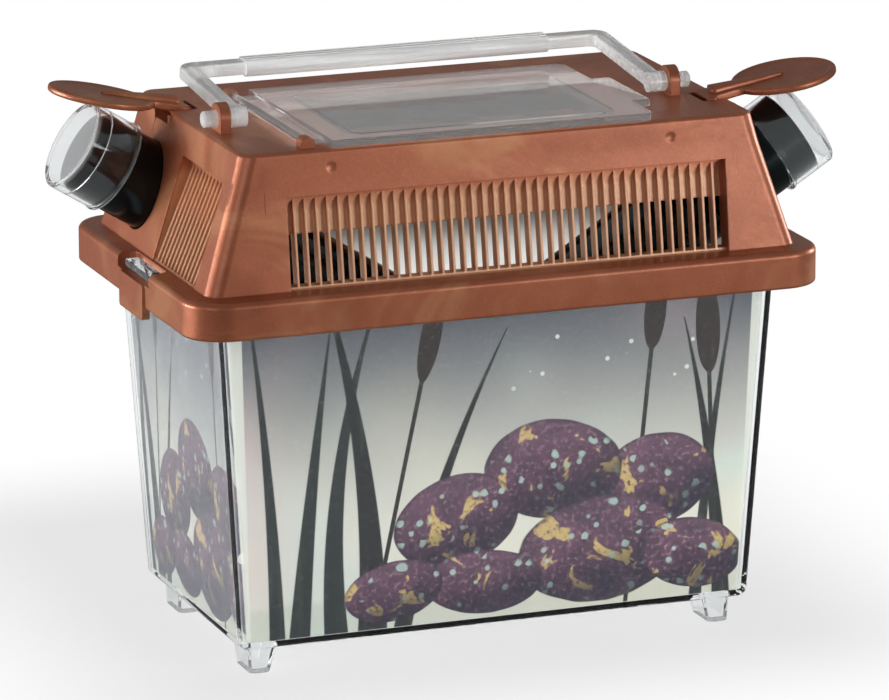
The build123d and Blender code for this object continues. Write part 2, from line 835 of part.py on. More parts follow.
def make_flap(pull):
    """Disc, arm, rib and hinge barrel, modelled level from the hinge axis, then tipped up."""
    low = flap_standoff
    disc = Pos(flap_disc_reach, 0, low + flap_thickness / 2) * Cylinder(flap_disc_radius, flap_thickness)
    disc = fillet(disc.edges(), flap_edge_round)
    dish = Pos(flap_disc_reach, 0, low + flap_thickness) * Cylinder(
        flap_disc_radius - flap_rim_width, 2 * flap_dish
    )
    disc = disc - dish
    arm_end = flap_disc_reach - flap_disc_radius + 2.5
    half_root = flap_arm_root_width / 2
    half_tip = flap_arm_tip_width / 2
    arm = Polygon(
        (-flap_barrel_radius, -half_root),
        (arm_end, -half_tip),
        (arm_end, half_tip),
        (-flap_barrel_radius, half_root),
        align=None,
    )
    arm = extrude(Plane.XY.offset(low) * arm, amount=flap_thickness)
    top = low + flap_thickness
    rib = loft([
        rib_section(flap_barrel_radius, flap_rib_root_width, flap_rib_root_height, top),
        rib_section(flap_disc_reach, flap_rib_tip_width, flap_rib_tip_height, top),
    ])
    web = box_between(
        (-flap_barrel_radius, flap_barrel_radius), (-half_root, half_root), (0, low + flap_thickness / 2)
    )
    barrel = rod_along("Y", flap_barrel_radius, -half_root, half_root)
    pin_reach = pocket_width() / 2 + flap_pin_length - 2 * pin_clearance
    pins = rod_along("Y", flap_pin_radius, -pin_reach, pin_reach)
    flap = disc + arm + rib + web + barrel + pins
    return Pos(flap_hinge_x, -tube_offset_y, flap_hinge_z) * Rot(0, -flap_rest_angle(pull), 0) * flap


# ---- Build and write every piece ----

def build_pieces():
    return {
        "tank": make_tank(),
        "card_sleeve": make_card_sleeve(),
        "lid_hood": make_lid(),
        "feeding_hatch": make_hatch(),
        "carry_handle": make_handle(),
        "right_tube": make_tube(right_tube_pull),
        "left_tube": half_turn * make_tube(left_tube_pull),
        "right_tube_cap": make_cap(right_tube_pull),
        "left_tube_cap": half_turn * make_cap(left_tube_pull),
        "right_flap": make_flap(right_tube_pull),
        "left_flap": half_turn * make_flap(left_tube_pull),
    }


os.makedirs("parts", exist_ok=True)
for name, piece in build_pieces().items():
    export_step(piece, f"parts/{name}.step")
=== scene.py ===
"""Looks for the insect keeper box: materials, smooth round pieces and the studio stage.

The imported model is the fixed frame. The tank, hood, hatch, handle and card keep their solids and
get materials; the tubes, caps and flaps are new surfaces worked out here from named sizes.
"""
import math
import bmesh
import bpy
import numpy as np
from bpy.props import FloatProperty, FloatVectorProperty, PointerProperty
from mathutils import Matrix


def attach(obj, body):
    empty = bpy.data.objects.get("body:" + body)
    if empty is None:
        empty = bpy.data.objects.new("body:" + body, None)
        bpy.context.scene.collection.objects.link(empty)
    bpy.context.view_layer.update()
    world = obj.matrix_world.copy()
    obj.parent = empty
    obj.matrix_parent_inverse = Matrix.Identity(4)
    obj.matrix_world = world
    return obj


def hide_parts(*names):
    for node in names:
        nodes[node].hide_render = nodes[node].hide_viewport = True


bl_info = {
    "name": "Insect Keeper Box",
    "version": (1, 0, 0),
    "blender": (4, 5, 0),
    "location": "View3D > Sidebar > Keeper Box",
    "description": "Materials, round pieces and stage for a vented insect keeper box",
    "category": "Object",
}

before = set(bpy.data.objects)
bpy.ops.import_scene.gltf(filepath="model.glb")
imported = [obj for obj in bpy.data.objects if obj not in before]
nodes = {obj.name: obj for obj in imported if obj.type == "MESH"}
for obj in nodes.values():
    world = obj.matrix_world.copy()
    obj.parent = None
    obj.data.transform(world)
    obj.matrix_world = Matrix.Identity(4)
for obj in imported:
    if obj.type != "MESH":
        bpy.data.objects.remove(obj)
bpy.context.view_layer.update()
MM = 0.001


# ---- Sizes and colours that a user would change ----

def length(name, description, default):
    """A size whose default is given in millimetres."""
    return FloatProperty(name=name, description=description, default=default * MM,
                         subtype="DISTANCE", unit="LENGTH", precision=5)


def angle(name, description, default):
    """An angle whose default is given in degrees."""
    return FloatProperty(name=name, description=description, default=math.radians(default),
                         subtype="ANGLE", unit="ROTATION")


def fraction(name, description, default):
    """A share from 0 to 1."""
    return FloatProperty(name=name, description=description, default=default, min=0.0, max=1.0)


def watts(name, description, default):
    """A lamp's power."""
    return FloatProperty(name=name, description=description, default=default, min=0.0, unit="POWER")


def colour(name, description, default):
    """A linear RGB colour."""
    return FloatVectorProperty(name=name, description=description, default=default,
                               subtype="COLOR", size=3, min=0.0, max=1.0)


class KeeperHoodSettings(bpy.types.PropertyGroup):
    shelf: length("Shelf height", "Height of the shelf that the hood's walls rise from", 108.3)
    slope: length("Slope height", "Height of the sloping walls", 28.6)
    deck: length("Deck height", "Height of the top deck", 144.9)
    side_foot: length("Side foot", "Distance of a long wall's foot from the middle", 48.15)
    side_lean: length("Side lean", "How far a long wall leans in over its height", 3.5)
    side_vent: length("Side vent", "Half the length of a long wall's vent", 62.65)
    side_vent_top: length("Side vent height", "Height of a long wall's vent", 24.9)
    side_vent_shift: length("Side vent shift", "How far a long wall's vent is off the middle", 1.5)
    end_foot: length("End foot", "Distance of an end wall's foot from the middle", 84.3)
    end_lean: length("End lean", "How far an end wall leans in over its height", 9.05)
    end_vent: length("End vent", "Half the length of an end wall's vent", 17.4)
    end_vent_top: length("End vent height", "Height of an end wall's vent", 28.2)
    end_vent_shift: length("End vent shift", "How far an end wall's vent is off the middle", 18.6)


class KeeperTubeSettings(bpy.types.PropertyGroup):
    tilt: angle("Tilt", "Slope of both tubes", 32.0)
    side: length("Side offset", "Distance of each tube's axis from the middle", 20.7)
    tip_out: length("Tip distance", "How far out the right tube's tip is", 93.6)
    tip_up: length("Tip height", "Height of the right tube's tip", 132.9)
    left_pull: length("Left pull", "How much further out the left tube stands", 2.3)
    radius: length("Radius", "Outer radius of a tube", 11.9)
    wall: length("Wall", "Wall of a tube", 1.2)
    run: length("Length", "Length of a tube", 161.0)
    black: colour("Black", "Colour of the tubes", (0.004, 0.005, 0.005))


class KeeperCapSettings(bpy.types.PropertyGroup):
    wall: length("Wall", "Wall of a cap", 0.9)
    grip: length("Grip", "Length of a cap over its tube", 9.0)
    head: length("Head room", "Hollow between the tube's end and the plate", 4.0)
    plate: length("Plate", "Thickness of the end plate", 1.2)
    lip: length("Lip", "How far the bead at the open edge stands out", 0.35)
    fit: length("Fit", "Clearance over the tube", 0.05)


class KeeperFlapSettings(bpy.types.PropertyGroup):
    hinge_out: length("Hinge distance", "How far out the hinge axis is", 69.1)
    hinge_up: length("Hinge height", "Height of the hinge axis", 142.9)
    right_angle: angle("Right angle", "Angle at which the right flap lies", 9.64)
    left_angle: angle("Left angle", "Angle at which the left flap lies", 11.68)
    reach: length("Reach", "Hinge to the middle of the disc", 23.1)
    disc: length("Disc radius", "Radius of the disc", 14.5)
    thickness: length("Thickness", "Thickness of disc and arm", 2.0)
    standoff: length("Stand-off", "Underside above the hinge axis", 0.9)
    root: length("Arm root", "Width of the arm at the hinge", 10.3)
    tip: length("Arm tip", "Width of the arm at the disc", 7.3)


class KeeperFinishSettings(bpy.types.PropertyGroup):
    copper: colour("Copper", "Body colour of the pearl plastic", (0.385, 0.108, 0.048))
    copper_light: colour("Copper light", "Colour of the pearl's lit flakes", (0.72, 0.365, 0.18))
    clear: colour("Clear", "Tint of the clear plastic", (0.95, 0.965, 0.97))
    fleck: length("Fleck", "Size of the pearl flecks", 0.35)
    milk: fraction("Milk", "Share of milky haze in the hatch", 0.10)
    handle_milk: fraction("Handle milk", "Share of milky haze in the handle", 0.62)
    tank_milk: fraction("Tank milk", "Share of milky haze in the tank", 0.008)
    cap_milk: fraction("Cap milk", "Share of milky haze in a cap's end plate", 0.20)


class KeeperStageSettings(bpy.types.PropertyGroup):
    key: watts("Key lamp", "Power of the softbox at the front right", 3.0)
    fill: watts("Fill lamp", "Power of the softbox at the front left", 2.6)
    back: watts("Back lamp", "Power of the low strip beyond the left end", 12.0)
    side: watts("Side lamp", "Power of the strip beyond the right end, which lights the hood only", 8.0)
    rear: watts("Rear lamp", "Power of the softbox behind, which shines through the card only", 26.0)
    top: watts("Top lamp", "Power of the softbox overhead", 0.5)
    sky: fraction("Sky", "Strength of the plain surroundings", 0.21)
    floor: colour("Floor", "Colour of the floor", (0.86, 0.86, 0.86))


# ---- Shader maths ----

class Socket:
    """An output socket in arithmetic: every operator adds one Math node."""

    def __init__(self, shader, socket):
        self.shader = shader
        self.socket = socket

    def __add__(self, other):
        return self.shader.math("ADD", self, other)

    def __radd__(self, other):
        return self.shader.math("ADD", other, self)

    def __sub__(self, other):
        return self.shader.math("SUBTRACT", self, other)

    def __rsub__(self, other):
        return self.shader.math("SUBTRACT", other, self)

    def __mul__(self, other):
        return self.shader.math("MULTIPLY", self, other)

    def __rmul__(self, other):
        return self.shader.math("MULTIPLY", other, self)

    def __truediv__(self, other):
        return self.shader.math("DIVIDE", self, other)


class Shader:
    """A material's node tree, written as expressions."""

    def __init__(self, name):
        self.material = bpy.data.materials.new(name)
        self.material.use_nodes = True
        self.tree = self.material.node_tree
        self.tree.nodes.clear()

    def add(self, kind, settings=None, sockets=None):
        """Adds any node: its settings first, then the values or links of its sockets."""
        node = self.tree.nodes.new("ShaderNode" + kind)
        for key, value in (settings or {}).items():
            setattr(node, key, value)
        for key, value in (sockets or {}).items():
            target = node.inputs[key]
            if isinstance(value, Socket):
                self.tree.links.new(value.socket, target)
            elif isinstance(value, tuple) and len(value) == 3 and target.type == "RGBA":
                target.default_value = (*value, 1.0)
            else:
                target.default_value = value
        return node

    def out(self, kind, output, settings=None, sockets=None):
        """Adds a node and gives one of its outputs."""
        return Socket(self, self.add(kind, settings, sockets).outputs[output])

    def math(self, operation, *values):
        """One Math node."""
        return self.out("Math", 0, {"operation": operation}, dict(enumerate(values)))

    def size(self, value):
        """Absolute value."""
        return self.math("ABSOLUTE", value)

    def clamp(self, value):
        """Kept between 0 and 1."""
        return self.out("Math", 0, {"operation": "ADD", "use_clamp": True}, {0: value, 1: 0.0})

    def step(self, value, low, high):
        """0 at low and 1 at high, smooth between; low may be the larger."""
        sockets = {"Value": value, "From Min": low, "From Max": high}
        if low > high:
            sockets = {"Value": value, "From Min": high, "From Max": low, "To Min": 1.0, "To Max": 0.0}
        return self.out("MapRange", 0, {"interpolation_type": "SMOOTHSTEP"}, sockets)

    def mix(self, factor, a, b):
        """Blends two colours."""
        return self.out("Mix", 2, {"data_type": "RGBA"}, {0: factor, 6: a, 7: b})

    def place(self):
        """Object coordinates in metres, as a vector."""
        return self.out("TexCoord", "Object")

    def split(self, vector):
        """The three parts of a vector."""
        node = self.add("SeparateXYZ", None, {0: vector})
        return [Socket(self, node.outputs[i]) for i in range(3)]

    def join(self, x, y, z):
        """A vector from three parts."""
        return self.out("CombineXYZ", 0, None, {0: x, 1: y, 2: z})

    def noise(self, vector, scale, detail=2.0, rough=0.5, distortion=0.0):
        """Cloudy noise from 0 to 1."""
        return self.out("TexNoise", 0, None, {"Vector": vector, "Scale": scale, "Detail": detail,
                                               "Roughness": rough, "Distortion": distortion})

    def cells(self, vector, scale, feature="F1", output="Distance"):
        """Cells round scattered points: the distance to the nearest, or a colour for each cell."""
        return self.out("TexVoronoi", output, {"feature": feature}, {"Vector": vector, "Scale": scale})

    def choose(self, factor, a, b):
        """Blends two vectors."""
        return self.out("Mix", 1, {"data_type": "VECTOR"}, {0: factor, 4: a, 5: b})

    def bump(self, height, strength, distance, normal=None):
        """A normal tilted by the slope of height, on the surface's own or a given normal."""
        sockets = {"Height": height, "Strength": strength, "Distance": distance}
        if normal is not None:
            sockets["Normal"] = normal
        return self.out("Bump", 0, None, sockets)

    def finish(self, surface):
        """Links the surface to the output and gives the material."""
        self.add("OutputMaterial", None, {"Surface": surface})
        return self.material


# ---- Materials ----

def vent_zones(shader, x, y, z, normal):
    """The hood's vents: 1 in a recess (the mask where copper_plastic paints light over the recess's
    shade), 1 on a recess's scooped top, and the normal of the wall around.

    The walls lean in, so at a height `up` over the shelf a wall stands foot - lean * up / slope out from
    the middle. What lies further in than that, along a vent's length, is in its recess.
    """
    hood = bpy.context.scene.keeper_hood
    nx, ny = shader.split(normal)[:2]
    up = z - hood.shelf
    at_end = shader.step(shader.size(x), 67 * MM, 68 * MM)
    at_side = 1.0 - at_end

    def zone(out, along, foot, lean, vent, margin, top, fade):
        """1 in one kind of recess, fading out towards its top; margin and fade are in millimetres."""
        behind = foot - up * (lean / hood.slope) - out
        inside = shader.step(behind, 0.3 * MM, 0.8 * MM) * shader.step(behind, 7.0 * MM, 6.5 * MM)
        inside = inside * shader.step(along, vent + margin[0] * MM, vent + margin[1] * MM)
        return inside * shader.step(up, top - fade[0] * MM, top - fade[1] * MM)

    side_along = shader.size(shader.math("SIGN", y) * x + hood.side_vent_shift)
    end_along = shader.size(shader.math("SIGN", x) * y - hood.end_vent_shift)
    in_side = zone(shader.size(y), side_along, hood.side_foot, hood.side_lean, hood.side_vent,
                   (-0.05, -0.25), hood.side_vent_top, (0.4, 6.4))
    in_end = zone(shader.size(x), end_along, hood.end_foot, hood.end_lean, hood.end_vent,
                  (1.2, 0.4), hood.end_vent_top, (0.7, 8.2))
    vent = shader.clamp(in_side * at_side + in_end * at_end * 1.35)
    past_top = up - (at_end * hood.end_vent_top + at_side * hood.side_vent_top)
    fin_side = shader.size(nx) * at_side + shader.size(ny) * at_end
    scoop = shader.step(past_top, -5.6 * MM, -4.4 * MM) * shader.step(past_top, 0.9 * MM, 0.5 * MM)
    scoop = scoop * shader.step(fin_side, 0.5, 0.3)
    side_tilt = math.atan(hood.side_lean / hood.slope)
    end_tilt = math.atan(hood.end_lean / hood.slope)
    wall = shader.join(shader.math("SIGN", x) * at_end * math.cos(end_tilt),
                       shader.math("SIGN", y) * at_side * math.cos(side_tilt),
                       at_end * math.sin(end_tilt) + at_side * math.sin(side_tilt))
    turn = {"vector_type": "NORMAL", "convert_from": "OBJECT", "convert_to": "WORLD"}
    return vent, scoop, shader.out("VectorTransform", 0, turn, {0: wall})


def copper_plastic(settings):
    """Pearl copper plastic: fine flecks, cloudy flow marks, painted light in the vent recesses, soft
    moulded edges.
    """
    shader = Shader("copper_plastic")
    place = shader.place()
    x, y, z = shader.split(place)
    facing = shader.out("TexCoord", "Normal")
    copper, light = tuple(settings.copper), tuple(settings.copper_light)
    fleck = shader.noise(place, 1.0 / settings.fleck, 2.0, 0.6)
    grain = shader.noise(place, 0.35 / settings.fleck, 3.0, 0.6)
    cloud = shader.noise(place, 38.0, 3.0, 0.55, 0.9)
    flow = shader.noise(shader.join(x, y, z * 1.6), 19.0, 3.0, 0.55, 1.6)
    base = shader.mix(shader.step(cloud, 0.32, 0.72), copper, tuple(c * 1.16 + 0.012 for c in copper))
    base = shader.mix(shader.step(fleck, 0.52, 0.72) * 0.20, base, light)
    base = shader.mix(shader.step(grain, 0.35, 0.6) * 0.10, base, (0.25, 0.07, 0.04))
    base = shader.mix(shader.step(flow, 0.50, 0.68) * 0.36, base, light)
    base = shader.mix(shader.step(flow, 0.46, 0.30) * 0.30, base, (0.22, 0.050, 0.026))
    vent, scoop, wall = vent_zones(shader, x, y, z, facing)
    # painted light: the vent recesses are lightened towards the pale flake colour, standing in for light
    # where the recesses lie in shade
    base = shader.mix(vent * 0.80, base, tuple(c * 0.95 + 0.10 for c in light))
    # fine lines along the deck
    deck_height = bpy.context.scene.keeper_hood.deck
    deck = shader.step(z, deck_height - 1.4 * MM, deck_height - 0.4 * MM)
    deck = shader.step(shader.split(facing)[2], 0.9, 0.97) * deck
    lines = shader.math("SINE", y * (2 * math.pi / (1.1 * MM))) * deck
    # edges rounded, the scooped tops of the vents shaded like the wall that they run into
    rounded = shader.out("Bevel", 0, {"samples": 6}, {"Radius": 0.6 * MM})
    height = fleck * 0.5 + grain * 0.8 + lines * 2.2
    normal = shader.bump(height, 0.35, 0.08 * MM, shader.choose(scoop, rounded, wall))
    surface = shader.out("BsdfPrincipled", 0, None, {
        "Base Color": base, "Roughness": 0.38 + shader.step(grain, 0.3, 0.7) * 0.08 + deck * 0.12,
        "Metallic": 0.55, "IOR": 1.5, "Specular Tint": (1.0, 0.92, 0.80), "Normal": normal,
        "Coat Weight": 0.45, "Coat Roughness": 0.26, "Coat Tint": (1.0, 0.96, 0.90),
    })
    return shader.finish(surface)


def clear_plastic(settings, name, milk_share, milk=(0.88, 0.89, 0.91), haze=None, waves=0.25,
                  coat=1.0, ior=1.22):
    """Clear styrene: glass that lets lamps through, partly milky.

    haze is a function that gives the share of milk at a place, waves the strength of the surface's
    moulding waves, coat the share of mirror reflection, and ior how strongly it bends light.
    """
    shader = Shader(name)
    place = shader.place()
    flow = shader.noise(place, 45.0, 2.0, 0.5, 0.4)
    scuff = shader.noise(place, 900.0, 3.0, 0.7)
    normal = shader.bump(flow, waves, 0.4 * MM)
    glass = shader.out("BsdfPrincipled", 0, None, {
        "Base Color": tuple(settings.clear), "Roughness": 0.025 + shader.step(scuff, 0.58, 0.8) * 0.06,
        "IOR": ior, "Transmission Weight": 1.0, "Normal": normal, "Coat Weight": coat,
        "Coat Roughness": 0.03, "Coat IOR": 1.5,
    })
    cloudy = shader.out("BsdfPrincipled", 0, None,
                        {"Base Color": milk, "Roughness": 0.3, "Normal": normal})
    milky = milk_share if haze is None else haze(shader, place) * milk_share
    body = shader.out("MixShader", 0, None, {0: milky, 1: glass, 2: cloudy})
    passing = shader.out("BsdfTransparent", 0, None, {"Color": (0.93, 0.94, 0.945)})
    shadow = shader.out("LightPath", "Is Shadow Ray")
    return shader.finish(shader.out("MixShader", 0, None, {0: shadow, 1: body, 2: passing}))


def plate_haze(shader, place):
    """1 in the end plate of either cap, nearly 0 in its wall."""
    tubes = bpy.context.scene.keeper_tubes
    caps = bpy.context.scene.keeper_caps
    x, _, z = shader.split(place)
    along = shader.size(x) * math.cos(tubes.tilt) + z * math.sin(tubes.tilt)
    tip = tubes.tip_out * math.cos(tubes.tilt) + tubes.tip_up * math.sin(tubes.tilt)
    pull = shader.step(x, 0.001, -0.001) * tubes.left_pull
    beyond_tip = along - tip - pull
    return 0.01 + shader.step(beyond_tip, caps.head - 0.6 * MM, caps.head - 0.1 * MM)


def grip_streaks(shader, place):
    """Long streaks in the handle's milk, drawn out along the grip and along the arms."""
    x, y, z = shader.split(place)
    arm = shader.step(shader.size(x), 55.5 * MM, 56.5 * MM)
    along = 0.06 + arm * 0.94
    across = 1.0 - arm * 0.94
    streak = shader.noise(shader.join(x * along, y * across, z * across), 420.0, 3.0, 0.6)
    return 0.55 + shader.step(streak, 0.35, 0.65) * 0.75


def black_plastic(settings):
    """Glossy black tube plastic with long, faint drawing marks."""
    shader = Shader("black_plastic")
    place = shader.place()
    haze = shader.noise(place, 120.0, 3.0, 0.6)
    dust = shader.noise(place, 1600.0, 2.0, 0.6)
    base = shader.mix(shader.step(dust, 0.62, 0.8) * 0.06, tuple(settings.black), (0.05, 0.05, 0.05))
    rough = 0.14 + shader.step(haze, 0.3, 0.7) * 0.10
    surface = shader.out("BsdfPrincipled", 0, None, {
        "Base Color": base, "Roughness": rough, "IOR": 1.33, "Specular Tint": (0.75, 0.95, 1.0),
        "Normal": shader.bump(haze, 0.15, 0.2 * MM),
    })
    return shader.finish(surface)


def ellipse(across, up, centre, size, turn, rough):
    """0 at the middle and 1 at the outline of a turned ellipse with a slightly uneven edge."""
    c, s = math.cos(turn), math.sin(turn)
    du = across - centre[0]
    dz = up - centre[1]
    a = (du * c + dz * s) / size[0]
    b = (dz * c - du * s) / size[1]
    return a * a + b * b + rough


def blade(shader, across, up, foot, lean, bend, width, top):
    """1 on a tapering reed that starts at foot and bends as it rises to a top height."""
    rise = up - foot[1]
    middle = foot[0] + rise * lean + rise * rise * bend
    half = width * (1.0 - rise / (top - foot[1])) + 0.15
    inside = shader.step(shader.size(across - middle) - half, 0.25, -0.25)
    return inside * shader.step(rise, -0.5, 0.5) * shader.step(up, top, top - 1.0)


# The card's drawing is in millimetres: across the card from its middle, and up from the floor.
REEDS = (  # foot, lean, bend, half width at the foot, height of the tip
    ((-46.0, 6.0), -0.10, 0.0022, 3.4, 104.0),
    ((-36.0, 6.0), 0.02, -0.0016, 4.2, 112.0),
    ((-57.0, 6.0), 0.06, 0.0004, 3.0, 96.0),
    ((-28.0, 6.0), 0.20, 0.0018, 2.6, 92.0),
    ((-63.0, 6.0), -0.03, -0.0006, 2.2, 108.0),
    ((66.0, 6.0), -0.05, -0.0012, 2.6, 90.0),
    ((58.0, 6.0), 0.06, 0.0006, 1.8, 100.0),
)
SEED_HEADS = (  # middle, half sizes, turn in radians
    ((60.5, 86.0), (3.6, 13.0), 0.05),
    ((45.0, 92.0), (3.2, 11.0), -0.09),
    ((-20.0, 90.0), (3.0, 12.0), -0.2),
)
STONES = (  # middle, half sizes, turn in radians; the far ones first
    ((46.0, 44.0), (17.0, 13.0), 0.15),
    ((16.0, 50.0), (20.0, 14.0), -0.12),
    ((-12.0, 38.0), (18.0, 13.0), 0.2),
    ((30.0, 26.0), (24.0, 15.0), 0.06),
    ((57.0, 22.0), (15.0, 10.0), -0.2),
    ((-4.0, 20.0), (17.0, 9.0), -0.05),
    ((-30.0, 20.0), (14.0, 8.5), 0.12),
)


def washed_sky(shader, flat, u, v):
    """Sky, cool and dark at the top, cream, mint and rose low down, with seeds and a far bank."""
    low = shader.noise(flat, 16.0, 2.0, 0.5, 0.3)
    lower = shader.noise(flat, 11.0, 1.0, 0.5)
    high = shader.step(v, 30.0, 98.0)
    sky = shader.mix(high, (0.66, 0.65, 0.57), (0.105, 0.113, 0.128))
    sky = shader.mix(shader.step(low, 0.5, 0.72) * (1.0 - high) * 0.65, sky, (0.50, 0.68, 0.62))
    sky = shader.mix(shader.step(lower, 0.52, 0.7) * 0.5, sky, (0.62, 0.45, 0.44))
    sky = shader.mix(shader.step(lower, 0.48, 0.3) * (1.0 - high) * 0.6, sky, (0.74, 0.70, 0.52))
    # drifting seeds in the upper sky, in some of the cells only
    dots = shader.cells(flat, 210.0)
    pick = shader.split(shader.cells(flat, 210.0, output="Color"))[0]
    seeds = shader.step(dots, 0.17, 0.10) * shader.step(pick, 0.42, 0.46)
    seeds = seeds * shader.step(v, 66.0, 74.0) * shader.step(u, -6.0, 10.0)
    sky = shader.mix(seeds, sky, (0.62, 0.66, 0.60))
    bank = shader.noise(shader.join(u * MM, 0.0, 0.0), 42.0, 3.0, 0.6) * 9.0 + 14.0
    return shader.mix(shader.step(v - bank, 1.5, -1.5) * 0.45, sky, (0.42, 0.44, 0.36))


def reeds_over(shader, page, u, v, vein):
    """Dark reeds, every second one darker, with pale veins."""
    for i, (foot, lean, bend, width, top) in enumerate(REEDS):
        mask = blade(shader, u, v, foot, lean, bend, width, top)
        dark = (0.004, 0.006, 0.008) if i % 2 else (0.008, 0.015, 0.016)
        leaf = shader.mix(shader.step(vein, 0.5, 0.75) * 0.5, dark, (0.05, 0.065, 0.05))
        page = shader.mix(mask, page, leaf)
    return page


def seed_heads_over(shader, page, u, v, vein):
    """Dark seed heads on thin stalks that end 5 mm over them."""
    for centre, size, turn in SEED_HEADS:
        stalk = shader.size(u - centre[0] + (v - centre[1]) * math.tan(turn))
        stalk_top = centre[1] + size[1] + 5.0
        stalk = shader.step(stalk, 0.8, 0.5) * shader.step(v, stalk_top, stalk_top - 1.0)
        page = shader.mix(stalk, page, (0.012, 0.014, 0.012))
        rim = ellipse(u, v, centre, size, turn, (vein - 0.5) * 0.2)
        page = shader.mix(shader.step(rim, 1.05, 0.95), page, (0.016, 0.008, 0.007))
    return page


def stones_over(shader, page, flat, u, v, grit):
    """River stones with ochre patches and pale green spots, lit from the upper left, dark at the rim."""
    patch = shader.noise(flat, 95.0, 3.0, 0.6, 0.6)
    wander = (shader.noise(flat, 60.0, 2.0, 0.5) - 0.5) * 0.22
    spot = shader.cells(flat, 330.0, feature="SMOOTH_F1")
    tone = shader.split(shader.cells(flat, 330.0, output="Color"))[1]
    ochre = shader.step(patch, 0.575, 0.61) * shader.step(grit, 0.3, 0.5) * 0.9
    green = shader.step(spot, 0.34, 0.22) * shader.step(tone, 0.58, 0.62) * 0.85
    skin = shader.mix(shader.step(patch, 0.3, 0.65), (0.018, 0.009, 0.024), (0.095, 0.036, 0.070))
    skin = shader.mix(shader.step(grit, 0.48, 0.70) * 0.50, skin, (0.30, 0.15, 0.21))
    skin = shader.mix(ochre, skin, (0.58, 0.43, 0.13))
    skin = shader.mix(green, skin, (0.36, 0.52, 0.44))
    for centre, size, turn in STONES:
        rim = ellipse(u, v, centre, size, turn, wander)
        light = (v - centre[1]) / size[1] - (u - centre[0]) / (2.2 * size[0])
        light = shader.step(light, -0.9, 1.1)
        stone = shader.mix(light * 0.14, skin, (0.42, 0.24, 0.33))
        stone = shader.mix(shader.step(light, 0.55, 0.0) * 0.75, stone, (0.012, 0.010, 0.028))
        stone = shader.mix(shader.step(rim, 0.82, 1.0) * 0.65, stone, (0.02, 0.014, 0.03))
        page = shader.mix(shader.step(rim, 1.03, 0.97), page, stone)
    return page


def printed_card():
    """Printed card: washed sky, mottled river stones and reeds outside, white board inside.

    The back panel lets more light through than the rest, so that it glows when lit from behind.
    """
    shader = Shader("printed_card")
    x, y, z = shader.split(shader.place())
    nx, ny = shader.split(shader.out("TexCoord", "Normal"))[:2]
    end = shader.step(shader.size(nx), 0.45, 0.55)
    u = (x * (1.0 - end) + (y * -1.35 + 4 * MM) * end) * 1000.0
    v = z * 1000.0
    flat = shader.join(u * MM, v * MM, 0.0)
    vein = shader.noise(shader.join(u * (6.0 * MM), v * (0.25 * MM), 0.0), 90.0, 2.0, 0.5)
    grit = shader.noise(flat, 700.0, 3.0, 0.7)
    page = washed_sky(shader, flat, u, v)
    page = reeds_over(shader, page, u, v, vein)
    page = seed_heads_over(shader, page, u, v, vein)
    page = stones_over(shader, page, flat, u, v, grit)
    page = shader.mix(end * 0.40, page, (0.10, 0.11, 0.13))
    # pale border that widens upwards, screen grain of the print, and the white board inside
    edge = shader.size(x) * (1.0 - end) * 1000.0 + (shader.size(y) * 1000.0 + 32.0) * end
    border = shader.step(edge - (v - 7.8) * 0.032, 70.4, 70.8)
    page = shader.mix(border * 0.85, page, (0.66, 0.67, 0.60))
    page = shader.mix(shader.step(grit, 0.5, 0.8) * 0.10, page, (0.8, 0.8, 0.8))
    outside = shader.step(nx * x + ny * y, -1 * MM, 1 * MM)
    page = shader.mix(outside, (0.90, 0.89, 0.87), page)
    surface = shader.out("BsdfPrincipled", 0, None, {
        "Base Color": page, "Roughness": 0.42 + grit * 0.1, "Specular IOR Level": 0.25,
        "Normal": shader.bump(grit, 0.06, 0.1 * MM),
    })
    glow = shader.out("BsdfTranslucent", 0, None, {"Color": (0.9, 0.89, 0.87)})
    back_panel = shader.step(y, 10 * MM, 12 * MM) * shader.step(ny, -0.5, -0.6)
    through = 0.04 + back_panel * 0.6
    return shader.finish(shader.out("MixShader", 0, None, {0: through, 1: surface, 2: glow}))


def floor_finish(settings):
    """Pale floor that keeps the shadow near the box and fades to plain white far from it.

    away is the distance outside a rectangle that holds the box and the shadow behind it. Mirror
    reflections see the floor at half its colour.
    """
    half_width, half_depth, middle = 74 * MM, 76 * MM, 34 * MM
    fade_over, least_white = 90 * MM, 0.69
    shader = Shader("floor_finish")
    x, y = shader.split(shader.place())[:2]
    beside = shader.math("MAXIMUM", shader.size(x) - half_width, 0.0)
    behind = shader.math("MAXIMUM", shader.size(y - middle) - half_depth, 0.0)
    away = shader.math("SQRT", beside * beside + behind * behind)
    plain = shader.out("BsdfDiffuse", 0, None, {"Color": tuple(settings.floor)})
    dim = shader.out("BsdfDiffuse", 0, None, {"Color": tuple(c * 0.5 for c in settings.floor)})
    white = shader.out("Emission", 0, None, {"Color": (1.0, 1.0, 1.0), "Strength": 1.0})
    ray = shader.add("LightPath")
    camera, transmitted, mirrored = (
        Socket(shader, ray.outputs[f"Is {kind} Ray"]) for kind in ("Camera", "Transmission", "Glossy"))
    fade = least_white + shader.step(away, 0.0, fade_over) * (1.0 - least_white)
    fade = fade * shader.clamp(camera + transmitted)
    plain = shader.out("MixShader", 0, None, {0: mirrored, 1: plain, 2: dim})
    return shader.finish(shader.out("MixShader", 0, None, {0: fade, 1: plain, 2: white}))


# ---- Mesh helpers ----

def mesh_object(name, vertices, faces, material, smooth=True):
    """An object at the origin from arrays of vertices (n, 3) and quads (m, 4)."""
    mesh = bpy.data.meshes.new(name)
    mesh.from_pydata(np.asarray(vertices).tolist(), [], np.asarray(faces).tolist())
    mesh.validate()
    mesh.polygons.foreach_set("use_smooth", np.full(len(mesh.polygons), smooth))
    mesh.materials.append(material)
    thing = bpy.data.objects.new(name, mesh)
    bpy.context.scene.collection.objects.link(thing)
    return thing


